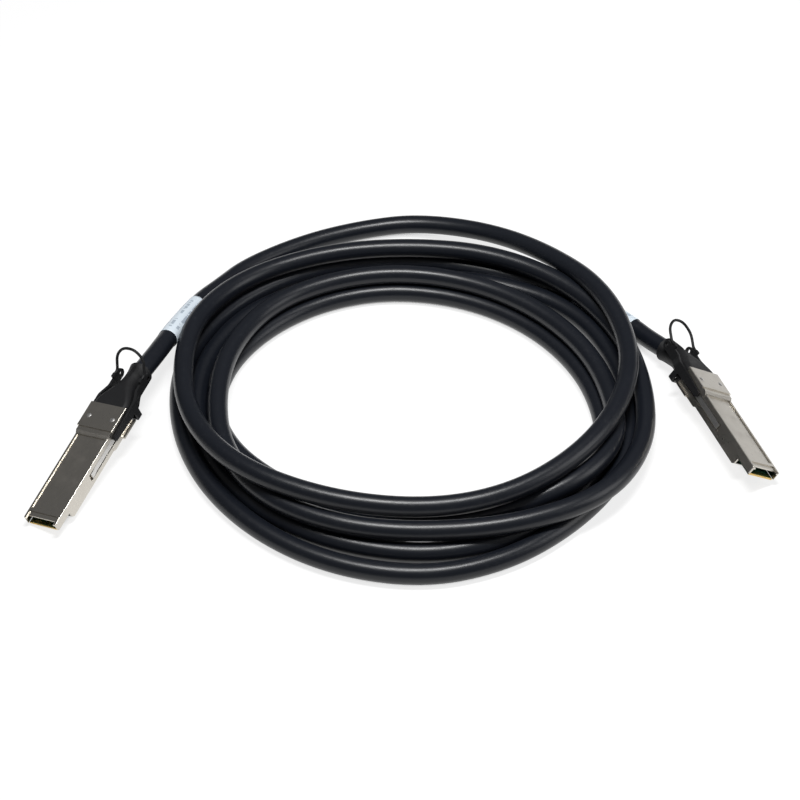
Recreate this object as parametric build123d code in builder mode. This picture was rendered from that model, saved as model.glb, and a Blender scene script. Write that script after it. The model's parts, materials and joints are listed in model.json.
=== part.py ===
from build123d import *
from math import cos, hypot, radians, sin, tan
import os

# Direct attach copper cable: a round black cable in a loose coil, with a pluggable metal plug at
# each end. Millimetres. The part lies on the plane z = 0. Each plug has its own frame: x towards its
# nose, z up through its top face, origin in the middle of the body at the front of the hood.

# Cable and the label wrapped round it near each plug
CABLE_DIAMETER = 9.6
LABEL_THICKNESS = 0.15
LABEL_LENGTH = 36.0

# Plug body: the stretch that enters a port, from the front of the hood to the nose
BODY_LENGTH = 50.7
BODY_WIDTH = 18.35
BODY_HEIGHT = 8.5
EDGE_ROUND = 0.35
RAIL_WIDTH = 1.25
PANEL_DEPTH = 0.55
NOSE_BAR_SETBACK = 4.3
NOSE_BAR_WIDTH = 1.8
NOSE_SETBACK = 2.0
HORN_WIDTH = 1.9
HORN_ROUND = 0.8
LOWER_SETBACK = 10.0

# Hood: the wider stretch that stays outside the port
HOOD_LENGTH = 16.5
HOOD_STEP = 0.125
HOOD_TOP = 5.75
HOOD_BOTTOM = 5.3
CAP_REACH = 0.8
CAP_THICKNESS = 1.1
LIP_LENGTH = 2.4
LIP_DROP = 0.55
LIP_SLOPE = 1.6
WING_REACH = 1.3
WING_THICKNESS = 1.2
WING_LENGTH = 11.0
WING_OVERHANG = 1.0

# Inside of the shells
CAVITY_TOP = 3.0
CAVITY_FLOOR = 3.1
REAR_WALL = 3.0
REAR_HOLLOW_END = 14.0
MIDDLE_WALL = 2.075
MIDDLE_HOLLOW_END = 24.0
FRONT_WALL = 0.975
RIB_INSET = 2.0
RIB_LENGTH = 6.0

# Side channels of the release arms, and the springs' pockets in their floors
CHANNEL_DEPTH = 1.0
CHANNEL_HEIGHT = 3.6
CHANNEL_END = 21.2
POCKET_START = 1.5
POCKET_LENGTH = 11.5
POCKET_DEPTH = 2.1
POCKET_HEIGHT = 2.6

# Pins that hold the shells together
PIN_SETBACK = 8.6
PIN_INSET = 2.6
PIN_RADIUS = 0.85
PIN_HEAD_RADIUS = 1.3
PIN_HEAD_DEPTH = 0.55
PIN_DOME = 0.25
PIN_DEPTH = 3.4
PIN_CLEARANCE = 0.02

# Paddle card, its contact pads and the wires soldered to it
CARD_THICKNESS = 1.0
CARD_TAIL = 6.0
CARD_SETBACK = 0.4
CARD_CLEARANCE = 0.2
CARD_CHAMFER = 0.25
PAD_LENGTH = 2.4
PAD_WIDTH = 0.5
PAD_THICKNESS = 0.06
PAD_PITCH = 0.8
PAD_SIDE_MARGIN = 0.3
PAD_MARGIN = 0.3
PAIR_WIDTH = 1.9
PAIR_HEIGHT = 1.2
PAIR_PITCH = 2.2
PAIR_COUNT = 4
PAIR_ROOM = 1.0
PAIR_LAP = 3.0

# Ferrule on the cable's braid, held by the rear wall of the shells
FERRULE_RADIUS = 4.3
FERRULE_WALL = 0.6
FERRULE_LENGTH = 7.5
FERRULE_CLEARANCE = 0.05

# Boot: as wide as the hood up to its shoulder, then narrowing to a round collar on the cable
BOOT_LENGTH = 27.0
BOOT_INSET = 0.1
BOOT_SHOULDER = 5.0
BOOT_NECK = 12.5
BOOT_CORNER = 2.0
SHOULDER_INSET = 0.5
SHOULDER_CORNER = 2.8
COLLAR_WALL = 1.2
NECK_WALL = 1.3
NECK_ROUNDNESS = 0.45
COLLAR_ROUNDNESS = 0.499

# Release: steel arms, leaf springs, moulded yoke and pull loop
RELEASE_TRAVEL = 3.2
ARM_THICKNESS = 0.6
ARM_HEIGHT = 2.8
ARM_FRONT_GAP = 1.5
ARM_FLARE = 0.35
FLARE_START = 4.2
FLARE_END = 1.4
ARM_GAP = 0.2
TAB_THICKNESS = 0.6
TAB_HEIGHT = 2.0
SPRING_THICKNESS = 0.25
SPRING_HEIGHT = 1.8
SPRING_WAVE = 0.6
SPRING_ARCHES = 3
SPRING_SEAT = 0.1
YOKE_THICKNESS = 1.3
YOKE_TURN = 5.0
YOKE_HEIGHT = 4.6
YOKE_FRONT_HEIGHT = 2.8
YOKE_FRONT_ROUND = 1.1
YOKE_RISE = 1.0
YOKE_SETBACK = 1.2
YOKE_GAP = 0.25
YOKE_RIB_SETBACK = 3.0
YOKE_RIB_LENGTH = 10.0
YOKE_RIB_HEIGHT = 2.6
YOKE_BEND = 6.2
YOKE_WAIST = 12.0
EAR_REACH = 21.5
EAR_INSET = 2.4
EYELET_RADIUS = 1.15
STRAP_GAP = 2.7
STRAP_WIDTH = 3.0
STRAP_CLEARANCE = 0.8
STRAP_THICKNESS = 1.0
STRAP_ROUND = 1.5
LUG_LENGTH = 2.6
LUG_WIDTH = 1.5
LUG_HEIGHT = 1.6
LUG_FORWARD = 4.2
LUG_CORNER = 0.5
LOOP_DIAMETER = 1.4
LOOP_START = 2.4
LOOP_NARROWING = 4.5
LOOP_MIDDLE_RISE = 0.6

# Coil: centre and half axes of its outer and inner outline, and its height at the front and back
COIL_OUTER = (3.2, 34.4, 116.2, 127.6)
COIL_INNER = (-0.4, 17.4, 83.0, 77.0)
COIL_FRONT_HEIGHT = 27.8
COIL_BACK_HEIGHT = 19.4
COIL_ROUND = 5.0

# Where the plugs lie: origin, then heading, fall and roll of the nose in degrees
PLACE_A = ((-144.48, -14.1, 14.3), (245.7, 12.4, 11.0))
PLACE_B = ((147.12, 14.6, 10.61), (-69.7, 2.3, -34.2))
# How each boot bends, to the side and down in degrees, and how far its pull loop leans back and up
BEND_A = (3.0, 14.0)
BEND_B = (5.0, 20.0)
LEAN_A = (8.5, 10.5)
LEAN_B = (14.2, 5.4)

# Free stretches of the cable from the boots into the coil, after a first run along the boot's axis,
# and how far along them each label starts
LEAD_START = 12.0
ARC_SHARE = 0.45
LEAD_A = [(-116.4, 53.7, 17.0), (-110.9, 71.2, 12.8), (-103.9, 89.2, 9.5), (-94.4, 102.2, 8.0)]
LEAD_B = [(114.6, 74.2, 5.6), (105.1, 84.7, 5.0), (93.6, 92.7, 5.0)]
LABEL_START_A = 30.0
LABEL_START_B = 17.5

BODY_SIDE = BODY_WIDTH / 2
BODY_TOP = BODY_HEIGHT / 2
HOOD_WIDTH = BODY_WIDTH + 2 * HOOD_STEP
HOOD_SIDE = HOOD_WIDTH / 2
HOLLOW_START = REAR_WALL - HOOD_LENGTH
REAR_HOLLOW_WIDTH = PAIR_COUNT * PAIR_PITCH + PAIR_ROOM
MIDDLE_HOLLOW_WIDTH = BODY_WIDTH - 2 * MIDDLE_WALL
FRONT_HOLLOW_WIDTH = BODY_WIDTH - 2 * FRONT_WALL
CHANNEL_SIDE = BODY_SIDE - CHANNEL_DEPTH
POCKET_END = POCKET_START + POCKET_LENGTH
CARD_REAR = REAR_HOLLOW_END - CARD_TAIL
CARD_FRONT = BODY_LENGTH - CARD_SETBACK
PAD_ROW = FRONT_HOLLOW_WIDTH - 2 * (CARD_CLEARANCE + PAD_SIDE_MARGIN)
PAD_COUNT = int(PAD_ROW / PAD_PITCH)
ARM_SIDE = CHANNEL_SIDE + ARM_GAP
ARM_REAR = RELEASE_TRAVEL + ARM_GAP - HOOD_LENGTH
YOKE_SIDE = HOOD_SIDE + YOKE_GAP
YOKE_MIDDLE = YOKE_SIDE + YOKE_THICKNESS / 2
EYELET = -HOOD_LENGTH - EAR_REACH
EAR_SIDE = YOKE_MIDDLE - EAR_INSET
CABLE_RADIUS = CABLE_DIAMETER / 2
SIDES = (1, -1)


def plug_frame(origin, angles):
    """The place of a plug whose nose heads, falls and rolls by these angles."""
    heading, fall, roll = angles
    return Pos(*origin) * Rot(Z=heading) * Rot(Y=fall) * Rot(X=roll)


def hollow_outline():
    """Stepped outline of the hollow inside both shells, on the parting plane."""
    with BuildSketch(Plane.XY) as outline:
        for width, start, end in [
            (REAR_HOLLOW_WIDTH, HOLLOW_START, REAR_HOLLOW_END),
            (MIDDLE_HOLLOW_WIDTH, REAR_HOLLOW_END, MIDDLE_HOLLOW_END),
            (FRONT_HOLLOW_WIDTH, MIDDLE_HOLLOW_END, BODY_LENGTH),
        ]:
            with Locations((start, 0)):
                Rectangle(end - start, width, align=(Align.MIN, Align.CENTER))
    return outline.sketch


def rib_outline():
    """Ribs on both walls of the hollow that clamp the card's shoulders."""
    with BuildSketch(Plane.XY) as outline:
        for side in SIDES:
            with Locations((REAR_HOLLOW_END, side * (MIDDLE_HOLLOW_WIDTH - RIB_INSET) / 2)):
                Rectangle(RIB_LENGTH, RIB_INSET, align=(Align.MIN, Align.CENTER))
    return outline.sketch


def channel_outline():
    """The release arms' channels, open to both sides of the plug."""
    reach = HOOD_SIDE + WING_REACH
    with BuildSketch(Plane.XY) as outline:
        for side in SIDES:
            with Locations(((CHANNEL_END - HOOD_LENGTH) / 2, side * (CHANNEL_SIDE + reach) / 2)):
                Rectangle(CHANNEL_END + HOOD_LENGTH, reach - CHANNEL_SIDE)
    return outline.sketch


def pocket_outline():
    """Pockets for the return springs, in the floors of the channels."""
    with BuildSketch(Plane.XY) as outline:
        for side in SIDES:
            with Locations((POCKET_START, side * (CHANNEL_SIDE - POCKET_DEPTH / 2))):
                Rectangle(POCKET_LENGTH, POCKET_DEPTH, align=(Align.MIN, Align.CENTER))
    return outline.sketch


def bore_outline():
    """The ferrule's seat in the rear wall."""
    with BuildSketch(Plane.YZ.offset(-HOOD_LENGTH)) as outline:
        Circle(FERRULE_RADIUS + FERRULE_CLEARANCE)
    return outline.sketch


def pin_places(height):
    """Places of the two pins at this height."""
    return [(-PIN_SETBACK, side * (HOOD_SIDE - PIN_INSET), height) for side in SIDES]


def upper_shell():
    """Top half of the housing: panel between two rails, horns at the nose, and the capped hood."""
    with BuildPart() as shell:
        with BuildSketch(Plane.XY):
            Rectangle(BODY_LENGTH, BODY_WIDTH, align=(Align.MIN, Align.CENTER))
        extrude(amount=BODY_TOP)
        fillet(shell.edges().filter_by(Axis.Z).group_by(Axis.X)[-1], HORN_ROUND)
        fillet(shell.edges().filter_by(Axis.X).group_by(Axis.Z)[-1], EDGE_ROUND)
        with BuildSketch(Plane.XZ):
            with BuildLine():
                Polyline(
                    (-HOOD_LENGTH, 0),
                    (-HOOD_LENGTH, HOOD_TOP),
                    (-LIP_LENGTH, HOOD_TOP),
                    (-LIP_LENGTH, HOOD_TOP - LIP_DROP),
                    (0, HOOD_TOP - LIP_DROP),
                    (LIP_SLOPE, BODY_TOP - PANEL_DEPTH),
                    (LIP_SLOPE, 0),
                    close=True,
                )
            make_face()
        extrude(amount=HOOD_SIDE, both=True)
        with BuildSketch(Plane.XY.offset(HOOD_TOP)):
            with Locations((-HOOD_LENGTH, 0)):
                Rectangle(
                    HOOD_LENGTH - LIP_LENGTH,
                    HOOD_WIDTH + 2 * CAP_REACH,
                    align=(Align.MIN, Align.CENTER),
                )
        extrude(amount=-CAP_THICKNESS)
        hood_top = shell.edges().filter_by(Axis.X).group_by(Axis.Z)[-1]
        fillet(hood_top, EDGE_ROUND)
        panel = BODY_WIDTH - 2 * RAIL_WIDTH
        bar_front = BODY_LENGTH - NOSE_BAR_SETBACK
        with BuildSketch(Plane.XY.offset(BODY_TOP)):
            for start, end in [(LIP_SLOPE, bar_front - NOSE_BAR_WIDTH), (bar_front, BODY_LENGTH)]:
                with Locations((start, 0)):
                    Rectangle(end - start, panel, align=(Align.MIN, Align.CENTER))
        extrude(amount=-PANEL_DEPTH, mode=Mode.SUBTRACT)
        with BuildSketch(Plane.XY):
            with Locations((BODY_LENGTH, 0)):
                Rectangle(2 * NOSE_SETBACK, BODY_WIDTH - 2 * HORN_WIDTH)
        extrude(amount=BODY_TOP, mode=Mode.SUBTRACT)
        extrude(hollow_outline(), amount=CAVITY_TOP, mode=Mode.SUBTRACT)
        extrude(rib_outline(), amount=CAVITY_TOP)
        extrude(channel_outline(), amount=CHANNEL_HEIGHT / 2, mode=Mode.SUBTRACT)
        extrude(pocket_outline(), amount=POCKET_HEIGHT / 2, mode=Mode.SUBTRACT)
        extrude(bore_outline(), amount=REAR_WALL, mode=Mode.SUBTRACT)
        with Locations(*pin_places(HOOD_TOP)):
            CounterBoreHole(PIN_RADIUS, PIN_HEAD_RADIUS + PIN_CLEARANCE, PIN_HEAD_DEPTH, HOOD_TOP)
    return shell.part


def lower_shell():
    """Bottom half of the housing, set back at the nose, with wings under the yoke's arms."""
    length = BODY_LENGTH - LOWER_SETBACK
    with BuildPart() as shell:
        with BuildSketch(Plane.XY):
            Rectangle(length, BODY_WIDTH, align=(Align.MIN, Align.CENTER))
        extrude(amount=-BODY_TOP)
        front_corner = shell.edges().filter_by(Axis.Y).group_by(Axis.X)[-1].sort_by(Axis.Z)[0]
        chamfer(front_corner, BODY_TOP - CAVITY_FLOOR)
        with BuildSketch(Plane.XZ):
            with BuildLine():
                Polyline(
                    (-HOOD_LENGTH, 0),
                    (-HOOD_LENGTH, -HOOD_BOTTOM),
                    (0, -HOOD_BOTTOM),
                    (LIP_SLOPE, -BODY_TOP),
                    (LIP_SLOPE, 0),
                    close=True,
                )
            make_face()
        extrude(amount=HOOD_SIDE, both=True)
        with BuildSketch(Plane.XY.offset(-HOOD_BOTTOM)):
            with Locations((-HOOD_LENGTH - WING_OVERHANG, 0)):
                Rectangle(
                    WING_LENGTH,
                    HOOD_WIDTH + 2 * WING_REACH,
                    align=(Align.MIN, Align.CENTER),
                )
                Rectangle(
                    WING_OVERHANG,
                    HOOD_WIDTH,
                    align=(Align.MIN, Align.CENTER),
                    mode=Mode.SUBTRACT,
                )
        extrude(amount=WING_THICKNESS)
        fillet(shell.edges().filter_by(Axis.X).group_by(Axis.Z)[0], EDGE_ROUND)
        extrude(hollow_outline(), amount=-CAVITY_FLOOR, mode=Mode.SUBTRACT)
        extrude(rib_outline(), amount=-CAVITY_FLOOR)
        with BuildSketch(Plane.XY):
            with Locations((CARD_REAR - CARD_CLEARANCE, 0)):
                Rectangle(
                    BODY_LENGTH,
                    MIDDLE_HOLLOW_WIDTH,
                    align=(Align.MIN, Align.CENTER),
                )
        extrude(amount=-CARD_THICKNESS, mode=Mode.SUBTRACT)
        extrude(channel_outline(), amount=-CHANNEL_HEIGHT / 2, mode=Mode.SUBTRACT)
        extrude(pocket_outline(), amount=-POCKET_HEIGHT / 2, mode=Mode.SUBTRACT)
        extrude(bore_outline(), amount=REAR_WALL, mode=Mode.SUBTRACT)
        with Locations(*pin_places(0)):
            Hole(PIN_RADIUS, PIN_DEPTH)
    return shell.part


def shell_pins():
    """Two press pins with domed heads, through the hood into the lower shell."""
    radius = PIN_RADIUS - PIN_CLEARANCE
    seat = HOOD_TOP - PIN_HEAD_DEPTH
    tip = PIN_CLEARANCE - PIN_DEPTH
    dome_radius = (PIN_HEAD_RADIUS**2 + PIN_DOME**2) / (2 * PIN_DOME)
    with BuildPart() as pins:
        for x, y, top in pin_places(HOOD_TOP):
            with BuildSketch(Plane.XZ.offset(-y)):
                with BuildLine():
                    outline = Polyline(
                        (x, top + PIN_DOME),
                        (x, tip),
                        (x + radius, tip),
                        (x + radius, seat),
                        (x + PIN_HEAD_RADIUS, seat),
                        (x + PIN_HEAD_RADIUS, top),
                    )
                    RadiusArc(outline @ 1, outline @ 0, -dome_radius)
                make_face()
            revolve(axis=Axis((x, y, 0), (0, 0, 1)))
    return pins.part


def paddle_card():
    """Circuit board whose front edge plugs into the port's connector."""
    shoulder = REAR_HOLLOW_END + CARD_CLEARANCE
    step = MIDDLE_HOLLOW_END + CARD_CLEARANCE
    with BuildPart() as card:
        with BuildSketch(Plane.XY):
            for hollow_width, start, end in [
                (REAR_HOLLOW_WIDTH, CARD_REAR, shoulder),
                (MIDDLE_HOLLOW_WIDTH, shoulder, step),
                (FRONT_HOLLOW_WIDTH, step, CARD_FRONT),
            ]:
                with Locations((start, 0)):
                    Rectangle(
                        end - start,
                        hollow_width - 2 * CARD_CLEARANCE,
                        align=(Align.MIN, Align.CENTER),
                    )
        extrude(amount=-CARD_THICKNESS)
        nose = card.edges().filter_by(Axis.Y).group_by(Axis.X)[-1]
        chamfer(nose, CARD_CHAMFER)
    return card.part


def contact_pads():
    """Rows of gold pads on both faces of the card's front edge."""
    with BuildPart() as pads:
        for height, up in [(0, 1), (-CARD_THICKNESS, -1)]:
            with BuildSketch(Plane.XY.offset(height)):
                with Locations((CARD_FRONT - PAD_MARGIN - PAD_LENGTH / 2, 0)):
                    with GridLocations(1, PAD_PITCH, 1, PAD_COUNT):
                        Rectangle(PAD_LENGTH, PAD_WIDTH)
            extrude(amount=up * PAD_THICKNESS)
    return pads.part


def twinax_pairs():
    """Insulated pairs, from the ferrule to both faces of the card's rear edge."""
    with BuildPart() as pairs:
        with BuildSketch(Plane.YZ.offset(HOLLOW_START)):
            for level in (PAIR_HEIGHT / 2, -CARD_THICKNESS - PAIR_HEIGHT / 2):
                with Locations((0, level)):
                    with GridLocations(PAIR_PITCH, 1, PAIR_COUNT, 1):
                        SlotOverall(PAIR_WIDTH, PAIR_HEIGHT)
        extrude(amount=CARD_REAR + PAIR_LAP - HOLLOW_START)
    return pairs.part


def crimp_ferrule():
    """Crimped tube that ties the cable's braid to the shells' rear wall."""
    with BuildPart() as ferrule:
        with BuildSketch(Plane.YZ.offset(HOLLOW_START)):
            Circle(FERRULE_RADIUS)
            Circle(FERRULE_RADIUS - FERRULE_WALL, mode=Mode.SUBTRACT)
        extrude(amount=-FERRULE_LENGTH)
    return ferrule.part


def boot_plane(along, bend):
    """Plane across the bent boot, this far behind the hood, facing the cable."""
    side, down = bend
    turn = hypot(side, down)
    radius = BOOT_LENGTH / radians(turn)
    angle = along / radius
    back = Vector(-1, 0, 0)
    aside = Vector(0, -side / turn, -down / turn)
    start = Vector(-HOOD_LENGTH, 0, 0)
    origin = start + back * radius * sin(angle) + aside * radius * (1 - cos(angle))
    facing = back * cos(angle) + aside * sin(angle)
    return Plane(origin, x_dir=facing.cross(Vector(0, 0, 1)), z_dir=facing)


def boot_sections():
    """Distance behind the hood, width, height and corner radius of each section of the boot."""
    width = HOOD_WIDTH - 2 * BOOT_INSET
    shoulder = width - 2 * SHOULDER_INSET
    height = 2 * HOOD_BOTTOM
    collar = CABLE_DIAMETER + 2 * COLLAR_WALL
    neck = CABLE_DIAMETER + 2 * NECK_WALL
    middle_corner = (SHOULDER_CORNER + NECK_ROUNDNESS * height) / 2
    return [
        (0, width, height, BOOT_CORNER),
        (BOOT_SHOULDER, shoulder, height, SHOULDER_CORNER),
        ((BOOT_SHOULDER + BOOT_NECK) / 2, (shoulder + neck) / 2, height, middle_corner),
        (BOOT_NECK, neck, height, NECK_ROUNDNESS * height),
        (BOOT_LENGTH, collar, collar, COLLAR_ROUNDNESS * collar),
    ]


def boot(bend):
    """Moulded strain relief, wide at the hood and round at the cable, bent as it lies."""
    with BuildPart() as sleeve:
        for along, width, height, corner in boot_sections():
            with BuildSketch(boot_plane(along, bend)):
                RectangleRounded(width, height, corner)
        loft()
        extrude(bore_outline(), amount=REAR_WALL - FERRULE_LENGTH, mode=Mode.SUBTRACT)
        with BuildSketch(Plane.YZ.offset(HOLLOW_START)):
            Circle(FERRULE_RADIUS - FERRULE_WALL)
        extrude(amount=-FERRULE_LENGTH)
    return sleeve.part


def release_arms():
    """Steel strips in the side channels, with a flared tip and a tab on the spring."""
    middle = ARM_SIDE + ARM_THICKNESS / 2
    front = CHANNEL_END - ARM_FRONT_GAP
    tab_depth = POCKET_DEPTH + ARM_GAP - CARD_CLEARANCE
    tab = POCKET_END - ARM_GAP - TAB_THICKNESS / 2
    with BuildPart() as arms:
        for side in SIDES:
            with BuildSketch(Plane.XY.offset(-ARM_HEIGHT / 2)):
                with BuildLine():
                    Polyline(
                        (ARM_REAR, side * middle),
                        (front - FLARE_START, side * middle),
                        (front - FLARE_END, side * (middle + ARM_FLARE)),
                        (front, side * (middle + ARM_FLARE)),
                    )
                trace(line_width=ARM_THICKNESS)
            extrude(amount=ARM_HEIGHT)
            with BuildSketch(Plane.XY.offset(-TAB_HEIGHT / 2)):
                with Locations((tab, side * (ARM_SIDE - tab_depth / 2))):
                    Rectangle(TAB_THICKNESS, tab_depth)
            extrude(amount=TAB_HEIGHT)
    return arms.part


def return_springs():
    """Waved leaf springs between the pockets' rear walls and the arms' tabs."""
    start = POCKET_START + SPRING_SEAT
    end = POCKET_END - ARM_GAP - TAB_THICKNESS - SPRING_SEAT
    arch = (end - start) / SPRING_ARCHES
    middle = CHANNEL_SIDE - POCKET_DEPTH / 2
    with BuildPart() as springs:
        for side in SIDES:
            with BuildSketch(Plane.XY.offset(-SPRING_HEIGHT / 2)):
                with BuildLine():
                    for count in range(SPRING_ARCHES):
                        x = start + count * arch
                        wave = SPRING_WAVE * (-1) ** count
                        ThreePointArc(
                            (x, side * middle),
                            (x + arch / 2, side * (middle + wave)),
                            (x + arch, side * middle),
                        )
                trace(line_width=SPRING_THICKNESS)
            extrude(amount=SPRING_HEIGHT)
    return springs.part


def release_yoke():
    """Moulded yoke: arms that follow the hood and the boot's waist, joined by a strap below."""
    ear = YOKE_HEIGHT / 2
    bend = -HOOD_LENGTH - YOKE_BEND
    waist = -HOOD_LENGTH - YOKE_WAIST
    front = YOKE_FRONT_HEIGHT / 2
    strap_front = -HOOD_LENGTH - STRAP_GAP
    strap_depth = HOOD_BOTTOM + STRAP_CLEARANCE + YOKE_RISE
    rib_inside = ARM_SIDE + ARM_THICKNESS
    rib_middle = -YOKE_RIB_SETBACK - YOKE_RIB_LENGTH / 2
    with BuildPart() as yoke:
        for side in SIDES:
            with BuildSketch(Plane.XY.offset(YOKE_RISE - ear)):
                with BuildLine():
                    FilletPolyline(
                        (-YOKE_SETBACK, side * YOKE_MIDDLE),
                        (bend, side * YOKE_MIDDLE),
                        (waist, side * EAR_SIDE),
                        (EYELET - ear, side * EAR_SIDE),
                        radius=YOKE_TURN,
                    )
                trace(line_width=YOKE_THICKNESS)
            extrude(amount=YOKE_HEIGHT)
        with BuildSketch(Plane.XZ) as profile:
            with BuildLine():
                Polyline(
                    (-YOKE_SETBACK, YOKE_RISE + front),
                    (-HOOD_LENGTH, YOKE_RISE + ear),
                    (EYELET, YOKE_RISE + ear),
                    (EYELET, YOKE_RISE - ear),
                    (-HOOD_LENGTH, YOKE_RISE - ear),
                    (-YOKE_SETBACK, YOKE_RISE - front),
                    close=True,
                )
            make_face()
            fillet(profile.vertices().group_by(Axis.X)[-1], YOKE_FRONT_ROUND)
            with Locations((EYELET, YOKE_RISE)):
                Circle(ear)
                Circle(EYELET_RADIUS, mode=Mode.SUBTRACT)
        extrude(amount=HOOD_WIDTH, both=True, mode=Mode.INTERSECT)
        with BuildSketch(Plane.YZ.offset(strap_front)):
            with Locations((0, YOKE_RISE)):
                Rectangle(
                    2 * (YOKE_SIDE + YOKE_THICKNESS),
                    strap_depth + STRAP_THICKNESS,
                    align=(Align.CENTER, Align.MAX),
                )
                Rectangle(
                    2 * YOKE_SIDE,
                    strap_depth,
                    align=(Align.CENTER, Align.MAX),
                    mode=Mode.SUBTRACT,
                )
        extrude(amount=-STRAP_WIDTH)
        fillet(yoke.edges().filter_by(Axis.X).group_by(Axis.Z)[0], STRAP_ROUND)
        with BuildSketch(Plane.XY.offset(-YOKE_RIB_HEIGHT / 2)):
            for side in SIDES:
                with Locations((rib_middle, side * (rib_inside + YOKE_SIDE) / 2)):
                    Rectangle(YOKE_RIB_LENGTH, YOKE_SIDE - rib_inside)
        extrude(amount=YOKE_RIB_HEIGHT)
        with BuildSketch(Plane.XY.offset(YOKE_RISE)):
            with Locations(*[(EYELET + LUG_FORWARD, side * EAR_SIDE) for side in SIDES]):
                RectangleRounded(LUG_LENGTH, LUG_WIDTH, LUG_CORNER)
        extrude(amount=ear + LUG_HEIGHT)
    return yoke.part


def pull_loop(lean):
    """Thin cord loop that rises back over the cable from the yoke's two lugs."""
    back, up = lean
    foot = Vector(
        EYELET + LUG_FORWARD - LUG_LENGTH / 2,
        EAR_SIDE,
        YOKE_RISE + (YOKE_HEIGHT + LUG_HEIGHT) / 2,
    )
    half = [
        foot,
        foot + Vector(-LOOP_START, 0, 0),
        foot + Vector(-LOOP_START - back / 2, 0, LOOP_MIDDLE_RISE * up),
        foot + Vector(-back, -LOOP_NARROWING, up),
    ]
    other_half = [Vector(point.X, -point.Y, point.Z) for point in reversed(half)]
    with BuildPart() as loop:
        with BuildLine() as route:
            FilletPolyline(*half, *other_half, radius=largest_radii(half + other_half))
        with BuildSketch(Plane(route.line @ 0, z_dir=route.line % 0)):
            Circle(LOOP_DIAMETER / 2)
        sweep()
    return loop.part


def largest_radii(points):
    """Radius of the arc at each inner point, as large as its two runs allow."""
    radii = []
    for before, here, after in zip(points, points[1:], points[2:]):
        into = here - before
        out = after - here
        half_turn = radians(into.get_angle(out)) / 2
        radii.append(ARC_SHARE * min(into.length, out.length) / tan(half_turn))
    return radii


def cable_route(name, exit_plane, points):
    """Straight runs joined by tangent arcs, from the boot into the coil."""
    first = exit_plane.origin + exit_plane.z_dir * LEAD_START
    corners = [exit_plane.origin, first] + [Vector(point) for point in points]
    radii = largest_radii(corners)
    print(name, "radii", [round(radius, 1) for radius in radii])
    with BuildLine() as route:
        FilletPolyline(*corners, radius=radii)
    return route.wires()[0]


def tube(route, outer, inner=0):
    """Round section along a route, hollow where an inner radius is given."""
    with BuildPart() as sleeve:
        with BuildSketch(Plane(route @ 0, z_dir=route % 0)):
            Circle(outer)
            if inner:
                Circle(inner, mode=Mode.SUBTRACT)
        sweep(path=route)
    return sleeve.part


def cable_coil():
    """Outer shape of the coiled turns, lower at the back than at the front."""
    outer_x, outer_y, outer_half_x, outer_half_y = COIL_OUTER
    inner_x, inner_y, inner_half_x, inner_half_y = COIL_INNER
    front = outer_y - outer_half_y
    back = outer_y + outer_half_y
    with BuildPart() as coil:
        with BuildSketch(Plane.XY):
            with Locations((outer_x, outer_y)):
                Ellipse(outer_half_x, outer_half_y)
            with Locations((inner_x, inner_y)):
                Ellipse(inner_half_x, inner_half_y, mode=Mode.SUBTRACT)
        extrude(amount=COIL_FRONT_HEIGHT)
        with BuildSketch(Plane.YZ):
            with BuildLine():
                Polyline(
                    (front, COIL_FRONT_HEIGHT),
                    (back, COIL_FRONT_HEIGHT),
                    (back, COIL_BACK_HEIGHT),
                    close=True,
                )
            make_face()
        extrude(amount=outer_half_x + abs(outer_x), both=True, mode=Mode.SUBTRACT)
        fillet(coil.edges().group_by(Axis.Z)[0], COIL_ROUND)
    return coil.part


def hand_in(piece, name):
    """Label a finished piece and write it."""
    piece.label = name
    export_step(piece, f"parts/{name}.step")


def plug_pieces(bend, lean):
    """Every piece of a plug, in the plug's own frame."""
    return {
        "upper_shell": upper_shell(),
        "lower_shell": lower_shell(),
        "shell_pins": shell_pins(),
        "paddle_card": paddle_card(),
        "contact_pads": contact_pads(),
        "twinax_pairs": twinax_pairs(),
        "crimp_ferrule": crimp_ferrule(),
        "boot": boot(bend),
        "release_arms": release_arms(),
        "return_springs": return_springs(),
        "release_yoke": release_yoke(),
        "pull_loop": pull_loop(lean),
    }


os.makedirs("parts", exist_ok=True)
for end, place, bend, lean, lead, label_start in [
    ("a", PLACE_A, BEND_A, LEAN_A, LEAD_A, LABEL_START_A),
    ("b", PLACE_B, BEND_B, LEAN_B, LEAD_B, LABEL_START_B),
]:
    frame = plug_frame(*place)
    for name, piece in plug_pieces(bend, lean).items():
        hand_in(frame * piece, f"{name}_{end}")
    route = cable_route(f"cable_lead_{end}", Plane(frame * boot_plane(BOOT_LENGTH, bend).location), lead)
    hand_in(tube(route, CABLE_RADIUS), f"cable_lead_{end}")
    label = route.trim(label_start / route.length, (label_start + LABEL_LENGTH) / route.length)
    hand_in(tube(label, CABLE_RADIUS + LABEL_THICKNESS, CABLE_RADIUS), f"cable_label_{end}")
hand_in(cable_coil(), "cable_coil")
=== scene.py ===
import bpy
import bmesh
import json
from math import cos, pi, radians, sin
from mathutils import Euler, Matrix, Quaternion, Vector


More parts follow.
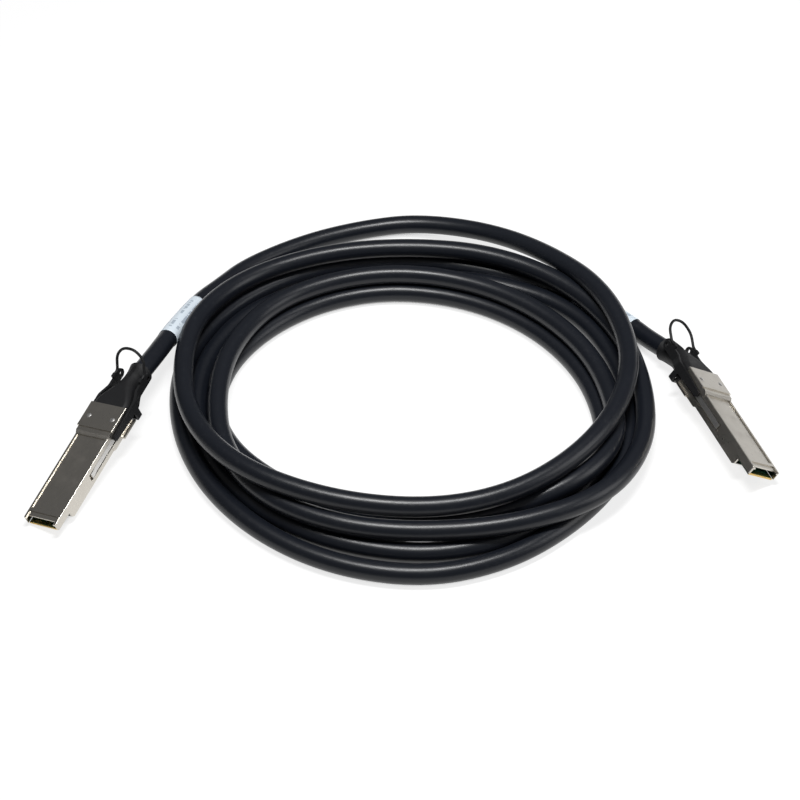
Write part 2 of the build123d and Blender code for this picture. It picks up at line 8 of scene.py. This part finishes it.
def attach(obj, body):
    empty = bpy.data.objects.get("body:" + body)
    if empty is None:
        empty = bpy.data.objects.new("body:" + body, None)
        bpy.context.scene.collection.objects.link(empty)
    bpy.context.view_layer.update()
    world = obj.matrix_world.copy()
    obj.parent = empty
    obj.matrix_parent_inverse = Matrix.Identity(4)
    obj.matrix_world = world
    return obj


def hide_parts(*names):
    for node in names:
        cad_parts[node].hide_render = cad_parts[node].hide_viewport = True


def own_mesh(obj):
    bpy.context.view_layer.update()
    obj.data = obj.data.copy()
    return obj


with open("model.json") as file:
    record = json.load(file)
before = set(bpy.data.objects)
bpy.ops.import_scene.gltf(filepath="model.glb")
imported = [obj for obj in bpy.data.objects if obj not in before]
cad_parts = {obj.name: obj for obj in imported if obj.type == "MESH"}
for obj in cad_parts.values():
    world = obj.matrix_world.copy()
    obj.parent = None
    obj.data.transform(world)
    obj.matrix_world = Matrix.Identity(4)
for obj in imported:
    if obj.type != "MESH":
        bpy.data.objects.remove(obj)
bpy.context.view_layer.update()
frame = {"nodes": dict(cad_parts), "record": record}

# Millimetres below, in the part's own frame; the model itself is in metres.
MM = 0.001

# The cable, from the boot of plug a through the coil to the boot of plug b, and the points that
# lead it from each boot to the coil
CABLE_DIAMETER = 9.6
CABLE_SMOOTHNESS = 12
CABLE_ROUNDNESS = 7
EXIT_A = (-126.87, 25.05, 20.3)
EXIT_B = (128.83, 53.7, 9.13)
LEAD_A = [
    EXIT_A,
    (-121.99, 36.01, 19.9),
    (-116.4, 53.7, 17.0),
    (-110.9, 71.2, 12.8),
    (-103.9, 89.2, 9.5),
    (-94.4, 102.2, 8.0),
    (-81.48, 120.6, 6.4),
    (-52.48, 141.0, 5.4),
    (-22.58, 153.0, 5.0),
]
LEAD_B = [
    EXIT_B,
    (121.95, 63.24, 6.77),
    (114.6, 74.2, 5.6),
    (105.1, 84.7, 5.2),
    (93.6, 92.7, 5.2),
    (74.02, 106.8, 5.0),
    (38.12, 120.5, 5.0),
]

# Where each strand is furthest back, right, front or left, in the order in which the cable runs:
# x and y there, how full the quarter turn to the next place is, and the heights along it.
STRANDS = [
    (7.62, 155.2, -0.073, (6.0, 10.0, 17.3, 22.6)),
    (108.52, 41.2, -0.013, (21.7, 22.9, 22.1, 20.6)),
    (8.22, -62.6, 0.068, (20.1, 22.6, 23.6, 19.5)),
    (-106.48, 40.3, 0.041, (18.0, 17.0, 14.5, 14.5)),
    (2.02, 125.1, 0.028, (14.4, 15.1, 13.7, 12.1)),
    (113.82, 18.7, 0.083, (12.0, 11.7, 14.1, 14.7)),
    (5.72, -70.5, 0.055, (13.3, 14.0, 13.9, 13.9)),
    (-88.88, 16.2, 0.049, (14.7, 14.4, 13.8, 13.5)),
    (0.72, 105.1, -0.019, (13.9, 13.3, 13.6, 13.2)),
    (99.12, 5.3, 0.061, (13.1, 13.9, 14.7, 9.1)),
    (5.92, -57.8, -0.058, (5.5, 4.9, 4.9, 4.9)),
    (-91.98, 17.9, -0.013, (4.9, 4.9, 4.9, 4.9)),
    (-3.78, 101.7, -0.002, (4.9, 4.9, 4.9, 4.9)),
    (94.92, 0.8, -0.02, (4.9, 4.9, 4.9, 4.9)),
    (6.82, -76.5, -0.016, (4.9, 4.9, 4.9, 4.9)),
    (-100.08, 19.2, 0.07, (4.9, 4.9, 4.9, 4.9)),
    (3.62, 110.8, 0.103, (4.9, 4.9, 4.9, 4.9)),
    (107.12, 5.8, -0.05, (4.9, 4.9, 4.9, 4.9)),
    (6.32, -89.3, -0.008, (4.9, 4.9, 4.9, 4.9)),
    (-109.68, 29.8, 0.009, (4.9, 4.9, 4.9, 4.9)),
    (2.92, 127.8, 0, (4.9,)),
]
# Control points in each quarter turn
STEPS = 4

# Labels wrapped round the cable: how far each starts from its boot, and how its seam is turned
LABEL_LENGTH = 36.0
LABEL_START_A = 30.0
LABEL_START_B = 24.5
LABEL_SEAM_A = 200.0
LABEL_SEAM_B = 20.0
LABEL_GAP = 0.05
LABEL_LIFT = 0.14
LABEL_THICKNESS = 0.11
LABEL_WRAP = 1.12
LABEL_LIFT_START = 0.02
LABEL_RING_STEP = 1.0
LABEL_SIDES = 64
LABEL_ROWS = 9.0
LABEL_BLOCKS = 26.0

# How each plug is turned, by its roll, fall and heading, and where its own frame starts
TURN_A = (11.0, 12.4, 245.7)
TURN_B = (-34.2, 2.3, -69.7)
ORIGIN_A = (-144.48, -14.1, 14.3)
ORIGIN_B = (147.12, 14.6, 10.61)

# The card's pads: their pitch, and where the plating of its front edge starts in the plug's frame
PAD_PITCH = 0.8
EDGE_PLATING = 49.9
EDGE_PLATING_FADE = 0.05

# How far the floor looks for what stands over it, and how little open sky turns a gap to painted
# shade
GAP_REACH = 16
GAP_DARK = 0.06
GAP_WHITE = 0.26

# Colours of the finishes, each with what it turns to where it is worn, dusty or overlapped
BLACK_JACKET = (0.0078, 0.0096, 0.0142)
DUSTY_JACKET = (0.017, 0.019, 0.024)
BLACK_MOULDING = (0.0068, 0.0070, 0.0080)
RUBBED_MOULDING = (0.013, 0.0133, 0.0145)
NICKEL = (0.60, 0.57, 0.515)
STAINED_NICKEL = (0.52, 0.485, 0.43)
STEEL = (0.72, 0.71, 0.69)
SCUFFED_STEEL = (0.58, 0.57, 0.55)
GOLD = (0.90, 0.62, 0.22)
WIPED_GOLD = (0.80, 0.52, 0.17)
BOARD_GREEN = (0.018, 0.075, 0.045)
COPPER_RUN_GREEN = (0.026, 0.115, 0.06)
FOIL = (0.62, 0.63, 0.65)
FOIL_OVERLAP = (0.48, 0.49, 0.52)
TINNED_BRASS = (0.60, 0.58, 0.54)
CRIMPED_BRASS = (0.46, 0.44, 0.40)
LABEL_WHITE = (0.72, 0.80, 0.87)
LABEL_FIBRE = (0.66, 0.745, 0.82)
LABEL_GREY = (0.30, 0.36, 0.43)
# Black that the floor's white turns to in narrow gaps: painted shade
PAINTED_GAP_SHADE = (0.0, 0.0, 0.0)
FLOOR_WHITE = (0.79, 0.79, 0.79)
FLOOR_GREY = (0.27, 0.27, 0.27, 1.0)
ROOM_GREY = (0.11, 0.11, 0.112, 1.0)

# The studio, in metres: half the floor's side, what the lamps face, and the camera
FLOOR_REACH = 6.0
LAMPS_AIM = (0.0, 0.03, 0.0)
CAMERA_PLACE = (-0.00248, -0.6563, 0.6599)
CAMERA_AIM = (-0.00248, 0.0271, 0.0)
CAMERA_LENS = 87.615
SENSOR_WIDTH = 36.0


class Value:
    """A number that varies over a surface; arithmetic on it adds Math nodes."""

    def __init__(self, finish, socket):
        self.finish = finish
        self.socket = socket

    def maths(self, operation, *others):
        return self.finish.value("ShaderNodeMath", {"operation": operation}, {
            place: other for place, other in enumerate((self, *others))
        })

    def __add__(self, other):
        return self.maths("ADD", other)

    __radd__ = __add__

    def __mul__(self, other):
        return self.maths("MULTIPLY", other)

    __rmul__ = __mul__

    def __sub__(self, other):
        return self.maths("SUBTRACT", other)

    def __rsub__(self, other):
        return (self * -1.0) + other

    def __truediv__(self, other):
        return self.maths("DIVIDE", other)

    def between(self, low, high):
        """Rises smoothly from 0 at low to 1 at high."""
        return self.finish.value(
            "ShaderNodeMapRange",
            {"interpolation_type": "SMOOTHSTEP"},
            {"Value": self, "From Min": low, "From Max": high},
        )


class Finish:
    """One material: its shader, with the plain values of its sockets, and what varies."""

    def __init__(self, name, plain=None):
        self.material = bpy.data.materials.new(name)
        self.material.use_nodes = True
        self.tree = self.material.node_tree
        self.shader = self.tree.nodes["Principled BSDF"]
        for socket, value in (plain or {}).items():
            self.shader.inputs[socket].default_value = value

    def node(self, kind, settings=None, sockets=None):
        """A node of this type, with its settings and then the values or links of its sockets."""
        made = self.tree.nodes.new(kind)
        for setting, value in (settings or {}).items():
            setattr(made, setting, value)
        for place, value in (sockets or {}).items():
            if isinstance(value, Value):
                self.tree.links.new(value.socket, made.inputs[place])
            else:
                made.inputs[place].default_value = value
        return made

    def value(self, kind, settings=None, sockets=None, out=0):
        """The output of such a node, as a number to reckon with."""
        return Value(self, self.node(kind, settings, sockets).outputs[out])

    def place(self):
        """Position in the part's frame, in metres."""
        return self.value("ShaderNodeTexCoord", out="Object")

    def noise(self, place, scale, detail=3.0, roughness=0.55):
        return self.value(
            "ShaderNodeTexNoise",
            None,
            {"Vector": place, "Scale": scale, "Detail": detail, "Roughness": roughness},
        )

    def stretched(self, place, along):
        return self.value(
            "ShaderNodeVectorMath", {"operation": "MULTIPLY"}, {0: place, 1: along}
        )

    def parts(self, place):
        """The three numbers of a position."""
        split = self.node("ShaderNodeSeparateXYZ", None, {0: place})
        return [Value(self, split.outputs[axis]) for axis in range(3)]

    def mix(self, share, first, second):
        """From the first colour to the second as the share goes from 0 to 1."""
        colours = {6: first, 7: second}
        return self.value(
            "ShaderNodeMix",
            {"data_type": "RGBA"},
            {"Factor": share} | {
                place: colour if isinstance(colour, Value) else (*colour, 1.0)
                for place, colour in colours.items()
            },
            out=2,
        )

    def bump(self, height, distance, strength=1.0, below=None):
        sockets = {"Height": height, "Distance": distance, "Strength": strength}
        if below is not None:
            sockets["Normal"] = below
        return self.value("ShaderNodeBump", None, sockets)

    def feed(self, varying):
        """What varies over the surface, by the names of the shader's sockets."""
        for socket, value in varying.items():
            self.tree.links.new(value.socket, self.shader.inputs[socket])
        return self.material


def jacket():
    """Satin black jacket: fine extrusion grain, slow swells and a little dust."""
    finish = Finish("satin_black_jacket", {"IOR": 1.5, "Specular IOR Level": 0.42})
    place = finish.place()
    dust = finish.noise(place, 420.0, 4.0, 0.7).between(0.52, 0.8)
    swell = finish.noise(place, 38.0, 2.0)
    grain = finish.noise(place, 2600.0, 2.0, 0.6)
    colour = finish.mix(dust * 0.5, BLACK_JACKET, DUSTY_JACKET)
    roughness = 0.23 + swell * 0.12 + grain * 0.06 + dust * 0.10
    slow = finish.bump(swell, 0.0006, 0.35)
    return finish.feed({
        "Base Color": colour,
        "Roughness": roughness,
        "Normal": finish.bump(grain, 0.00006, 0.35, slow),
    })


def moulding(name, grain_scale):
    """Matt black moulding with a spark-eroded grain."""
    finish = Finish(name, {"IOR": 1.5, "Specular IOR Level": 0.36})
    place = finish.place()
    grain = finish.noise(place, grain_scale, 2.0, 0.7)
    rub = finish.noise(place, 180.0, 3.0, 0.6).between(0.5, 0.75)
    colour = finish.mix(rub * 0.6, BLACK_MOULDING, RUBBED_MOULDING)
    return finish.feed({
        "Base Color": colour,
        "Roughness": 0.52 + grain * 0.16 - rub * 0.08,
        "Normal": finish.bump(grain, 0.00008, 0.45),
    })


def plug_place(finish, origin, turn):
    """Position in a plug's own frame: x to its nose, z up through its top."""
    turned = Euler([radians(angle) for angle in turn], "XYZ").to_matrix()
    inverse = turned.inverted().to_euler("XYZ")
    moved = finish.value(
        "ShaderNodeVectorMath",
        {"operation": "SUBTRACT"},
        {0: finish.place(), 1: Vector(origin) * MM},
    )
    return finish.value(
        "ShaderNodeVectorRotate",
        {"rotation_type": "EULER_XYZ"},
        {"Vector": moved, "Rotation": inverse},
    )


def shell_metal(name, origin, turn):
    """Nickel on die-cast zinc: satin, drawn along the plug, with faint stains."""
    finish = Finish(name, {"Metallic": 1.0})
    place = plug_place(finish, origin, turn)
    drawn = finish.noise(finish.stretched(place, (0.06, 1.0, 1.0)), 5200.0, 2.0, 0.6)
    cast = finish.noise(place, 900.0, 3.0, 0.6)
    stain = finish.noise(place, 120.0, 4.0, 0.65).between(0.45, 0.75)
    colour = finish.mix(stain * 0.35, NICKEL, STAINED_NICKEL)
    return finish.feed({
        "Base Color": colour,
        "Roughness": 0.24 + drawn * 0.10 + stain * 0.06,
        "Normal": finish.bump(cast, 0.00005, 0.25, finish.bump(drawn, 0.00002, 0.25)),
    })


def steel():
    """Bright stamped steel of the pins, arms and springs."""
    finish = Finish("bright_steel", {"Metallic": 1.0})
    place = finish.place()
    scuff = finish.noise(place, 1500.0, 3.0, 0.65)
    colour = finish.mix(scuff.between(0.45, 0.7), STEEL, SCUFFED_STEEL)
    return finish.feed({
        "Base Color": colour,
        "Roughness": 0.32 + scuff * 0.14,
        "Normal": finish.bump(scuff, 0.00003, 0.2),
    })


def gold():
    """Gold on the contact pads, with the faint marks of a port's fingers."""
    finish = Finish("contact_gold", {"Metallic": 1.0})
    wiped = finish.noise(finish.place(), 2400.0, 2.0)
    colour = finish.mix(wiped.between(0.4, 0.7), GOLD, WIPED_GOLD)
    return finish.feed({"Base Color": colour, "Roughness": 0.16 + wiped * 0.16})


def board(name, origin, turn):
    """Green lacquered card with darker gaps between its copper runs, plated at its front edge."""
    finish = Finish(name, {"IOR": 1.5})
    place = plug_place(finish, origin, turn)
    x, y, _ = finish.parts(place)
    across = (y / (PAD_PITCH * MM)).maths("FRACT").maths("PINGPONG", 0.5)
    runs = across.between(0.18, 0.28)
    front = x.between(EDGE_PLATING * MM, (EDGE_PLATING + EDGE_PLATING_FADE) * MM)
    plated = front * (1.0 - across.between(0.36, 0.40))
    weave = finish.noise(place, 1800.0, 2.0)
    colour = finish.mix(runs, BOARD_GREEN, COPPER_RUN_GREEN)
    return finish.feed({
        "Base Color": finish.mix(plated, colour, GOLD),
        "Metallic": plated,
        "Roughness": 0.30 + weave * 0.12,
        "Normal": finish.bump(runs, 0.00003, 0.5),
    })


def insulation():
    """Silvered tape on the wire pairs, with its overlaps."""
    finish = Finish("pair_foil")
    wrap = finish.noise(finish.place(), 900.0, 2.0)
    colour = finish.mix(wrap.between(0.35, 0.65), FOIL, FOIL_OVERLAP)
    return finish.feed({
        "Base Color": colour,
        "Roughness": 0.3 + wrap * 0.2,
        "Normal": finish.bump(wrap, 0.00006, 0.4),
    })


def ferrule():
    """Tinned brass of the crimped ferrule."""
    finish = Finish("tinned_ferrule", {"Metallic": 1.0})
    crimp = finish.noise(finish.place(), 700.0, 3.0)
    colour = finish.mix(crimp.between(0.4, 0.7), TINNED_BRASS, CRIMPED_BRASS)
    return finish.feed({
        "Base Color": colour,
        "Roughness": 0.3 + crimp * 0.15,
        "Normal": finish.bump(crimp, 0.00008, 0.4),
    })


def label_paper():
    """Coated label with plain grey bars and blocks, laid out by its unrolled place."""
    finish = Finish("label_paper", {"IOR": 1.45})
    unrolled = finish.value("ShaderNodeUVMap", {"uv_map": "unrolled"})
    along, around, _ = finish.parts(unrolled)
    fibre = finish.noise(finish.place(), 1500.0, 3.0, 0.6)
    rows = (around * LABEL_ROWS).maths("FRACT")
    row = rows.between(0.22, 0.27) * (1.0 - rows.between(0.62, 0.67))
    patches = finish.noise(finish.stretched(unrolled, (LABEL_BLOCKS, LABEL_ROWS, 0.0)), 1.0, 0.0)
    blocks = patches.between(0.42, 0.46)
    inside = along.between(0.10, 0.11) * (1.0 - along.between(0.88, 0.89))
    bars = row * blocks * inside
    colour = finish.mix(fibre.between(0.4, 0.7) * 0.4, LABEL_WHITE, LABEL_FIBRE)
    colour = finish.mix(bars * 0.75, colour, LABEL_GREY)
    return finish.feed({
        "Base Color": colour,
        "Roughness": 0.38 + fibre * 0.12,
        "Normal": finish.bump(fibre, 0.00003, 0.2),
    })


def white_floor():
    """Pale floor, white to the camera and in reflections; narrow gaps get painted shade by
    occlusion, and it keeps shadows.
    """
    finish = Finish("white_floor", {
        "Base Color": FLOOR_GREY,
        "Roughness": 0.9,
        "Specular IOR Level": 0.0,
        "Emission Strength": 1.0,
    })
    seen = [
        finish.value("ShaderNodeLightPath", out=ray)
        for ray in ("Is Camera Ray", "Is Glossy Ray", "Is Transmission Ray")
    ]
    shows = seen[0].maths("MAXIMUM", seen[1]).maths("MAXIMUM", seen[2])
    open_sky = finish.value(
        "ShaderNodeAmbientOcclusion", {"samples": 16}, {"Distance": GAP_REACH * MM}, out="AO"
    )
    # The white fades to black painted shade where little open sky reaches the floor between
    # strands
    white_less_painted_shade = shows * open_sky.between(GAP_DARK, GAP_WHITE)
    return finish.feed({"Emission Color": finish.mix(white_less_painted_shade, PAINTED_GAP_SHADE, FLOOR_WHITE)})


def coil_points():
    """Control points of the turns: quarter ellipses from one furthest place to the next."""
    shrink = cos(pi / (4 * STEPS))
    points = []
    for count, (here, there) in enumerate(zip(STRANDS, STRANDS[1:])):
        x, y, fullness, heights = here
        next_x, next_y = there[:2]
        for step, height in enumerate(heights):
            angle = pi / 2 * step / STEPS
            reach = (1 + fullness * sin(2 * angle) ** 2) / shrink
            early = reach * cos(angle)
            late = reach * sin(angle)
            if count % 2 == 0:
                points.append((x + (next_x - x) * late, next_y + (y - next_y) * early, height))
            else:
                points.append((next_x + (x - next_x) * early, y + (next_y - y) * late, height))
    x, y, _, heights = STRANDS[-1]
    return points + [(x, y, heights[0])]


def cable_curve(name, bevel):
    """The cable as one smooth spline, led by the points of its leads and its turns."""
    curve = bpy.data.curves.new(name, "CURVE")
    curve.dimensions = "3D"
    curve.resolution_u = CABLE_SMOOTHNESS
    curve.bevel_depth = bevel
    curve.bevel_resolution = CABLE_ROUNDNESS
    route = LEAD_A + coil_points() + LEAD_B[::-1]
    spline = curve.splines.new("NURBS")
    spline.points.add(len(route) - 1)
    for point, place in zip(spline.points, route):
        point.co = (*(Vector(place) * MM), 1.0)
    spline.order_u = 3
    spline.use_endpoint_u = True
    piece = bpy.data.objects.new(name, curve)
    bpy.context.collection.objects.link(piece)
    return piece


def line_of(curve):
    """Points along a curve that has no bevel, each with its distance from the start."""
    mesh = bpy.data.meshes.new_from_object(curve)
    points = [vertex.co.copy() for vertex in mesh.vertices]
    bpy.data.meshes.remove(mesh)
    distances = [0.0]
    for before, here in zip(points, points[1:]):
        distances.append(distances[-1] + (here - before).length)
    return points, distances


def station(points, distances, along):
    """Place and direction of the line at a distance from its start."""
    for count in range(len(points) - 1):
        if distances[count + 1] >= along:
            break
    run = points[count + 1] - points[count]
    share = (along - distances[count]) / (distances[count + 1] - distances[count])
    return points[count] + run * share, run.normalized()


def label(name, line, start, seam, reverse):
    """Paper wrapped round the cable with its end lapped over, unrolled in its own map."""
    points, distances = line
    length = distances[-1]
    rings = round(LABEL_LENGTH / LABEL_RING_STEP)
    sides = round(LABEL_SIDES * LABEL_WRAP)
    inner = CABLE_DIAMETER / 2 + LABEL_GAP
    mesh = bmesh.new()
    unrolled = mesh.loops.layers.uv.new("unrolled")
    grid = []
    out = None
    for ring in range(rings + 1):
        along = (start + ring * LABEL_RING_STEP) * MM
        place, heading = station(points, distances, length - along if reverse else along)
        if out is None:
            out = heading.orthogonal().normalized()
        out = (out - heading * out.dot(heading)).normalized()
        row = []
        for side in range(sides + 1):
            turn = side / LABEL_SIDES
            lift = LABEL_LIFT * max(0.0, turn - LABEL_LIFT_START) / LABEL_WRAP
            spoke = Quaternion(heading, 2 * pi * turn + radians(seam)) @ out
            row.append(mesh.verts.new(place + spoke * (inner + lift) * MM))
        grid.append(row)
    for ring in range(rings):
        for side in range(sides):
            corners = [(ring, side), (ring + 1, side), (ring + 1, side + 1), (ring, side + 1)]
            face = mesh.faces.new([grid[r][s] for r, s in corners])
            face.smooth = True
            for loop, (r, s) in zip(face.loops, corners):
                loop[unrolled].uv = (r / rings, s / sides)
    bmesh.ops.recalc_face_normals(mesh, faces=mesh.faces)
    data = bpy.data.meshes.new(name)
    mesh.to_mesh(data)
    mesh.free()
    piece = bpy.data.objects.new(name, data)
    bpy.context.collection.objects.link(piece)
    skin = piece.modifiers.new("paper", "SOLIDIFY")
    skin.thickness = LABEL_THICKNESS * MM
    skin.offset = 1.0
    return piece


def finish_node(node, material):
    """The material on every slot of a CAD node."""
    piece = frame["nodes"][node]
    piece.data.materials.clear()
    piece.data.materials.append(material)


def return_springs(end, material):
    """Leaf springs of one plug, copied from its CAD node with the given finish and attached to the
    cable assembly.
    """
    release = next(
        joint for joint in frame["record"]["behaviour"]["joints"]
        if joint["name"] == f"release_slide_{end}"
    )
    pull = Vector(release["axis"])
    fixed_end = Vector(release["deforming_nodes"][0]["fixed_end_m"])
    leaves = frame["nodes"][f"return_springs_{end}"].data.copy()
    leaves.materials.clear()
    leaves.materials.append(material)
    length = max(abs((vertex.co - fixed_end).dot(pull)) for vertex in leaves.vertices)
    piece = bpy.data.objects.new(f"leaf_springs_{end}", leaves)
    bpy.context.collection.objects.link(piece)
    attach(piece, "cable_assembly")
    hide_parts(f"return_springs_{end}")
    1 - release["range_m"][1] / length
    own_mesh(piece)


def floor():
    """Wide flat floor under the part."""
    mesh = bmesh.new()
    bmesh.ops.create_grid(mesh, x_segments=1, y_segments=1, size=FLOOR_REACH)
    data = bpy.data.meshes.new("studio_floor")
    mesh.to_mesh(data)
    mesh.free()
    data.materials.append(white_floor())
    piece = bpy.data.objects.new("studio_floor", data)
    bpy.context.collection.objects.link(piece)


def softbox(name, place, aim, width, depth, power):
    """Rectangular soft light that faces a point."""
    lamp = bpy.data.lights.new(name, "AREA")
    lamp.shape = "RECTANGLE"
    lamp.size = width
    lamp.size_y = depth
    lamp.energy = power
    piece = bpy.data.objects.new(name, lamp)
    piece.location = place
    piece.rotation_euler = (Vector(aim) - Vector(place)).to_track_quat("-Z", "Y").to_euler()
    bpy.context.collection.objects.link(piece)


def camera(place, aim, lens):
    """Camera at the photograph's viewing angle."""
    data = bpy.data.cameras.new("photo_camera")
    data.lens = lens
    data.sensor_width = SENSOR_WIDTH
    piece = bpy.data.objects.new("photo_camera", data)
    piece.location = place
    piece.rotation_euler = (Vector(aim) - Vector(place)).to_track_quat("-Z", "Y").to_euler()
    bpy.context.collection.objects.link(piece)
    bpy.context.scene.camera = piece


cable = cable_curve("coiled_cable", CABLE_DIAMETER / 2 * MM)
cable.data.materials.append(jacket())
guide = cable_curve("cable_guide", 0.0)
cable_line = line_of(guide)
bpy.data.objects.remove(guide)
paper = label_paper()
label_a = label("wrapped_label_a", cable_line, LABEL_START_A, LABEL_SEAM_A, False)
label_b = label("wrapped_label_b", cable_line, LABEL_START_B, LABEL_SEAM_B, True)
for piece, node in [(label_a, "cable_label_a"), (label_b, "cable_label_b")]:
    piece.data.materials.append(paper)
    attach(piece, "cable_assembly")
    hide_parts(node)
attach(cable, "cable_assembly")
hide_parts("cable_coil", "cable_lead_a", "cable_lead_b")

boot_black = moulding("boot_black", 2400.0)
yoke_black = moulding("yoke_black", 3200.0)
loop_black = moulding("loop_black", 1500.0)
pin_steel = steel()
pad_gold = gold()
pair_foil = insulation()
braid_ferrule = ferrule()
for end, origin, turn in [("a", ORIGIN_A, TURN_A), ("b", ORIGIN_B, TURN_B)]:
    nickel = shell_metal(f"nickel_shell_{end}", origin, turn)
    for node, material in [
        ("upper_shell", nickel),
        ("lower_shell", nickel),
        ("shell_pins", pin_steel),
        ("paddle_card", board(f"green_card_{end}", origin, turn)),
        ("contact_pads", pad_gold),
        ("twinax_pairs", pair_foil),
        ("crimp_ferrule", braid_ferrule),
        ("boot", boot_black),
        ("release_arms", pin_steel),
        ("release_yoke", yoke_black),
        ("pull_loop", loop_black),
    ]:
        finish_node(f"{node}_{end}", material)
    return_springs(end, pin_steel)

floor()
softbox("overhead_softbox", (0.02, -0.03, 0.95), LAMPS_AIM, 0.42, 0.16, 8.5)
softbox("right_softbox", (0.95, -0.15, 0.55), LAMPS_AIM, 0.5, 0.7, 2.6)
camera(CAMERA_PLACE, CAMERA_AIM, CAMERA_LENS)

world = bpy.data.worlds.new("grey_room")
world.use_nodes = True
world.node_tree.nodes["Background"].inputs["Color"].default_value = ROOM_GREY
bpy.context.scene.world = world
bpy.context.scene.view_settings.view_transform = "Standard"
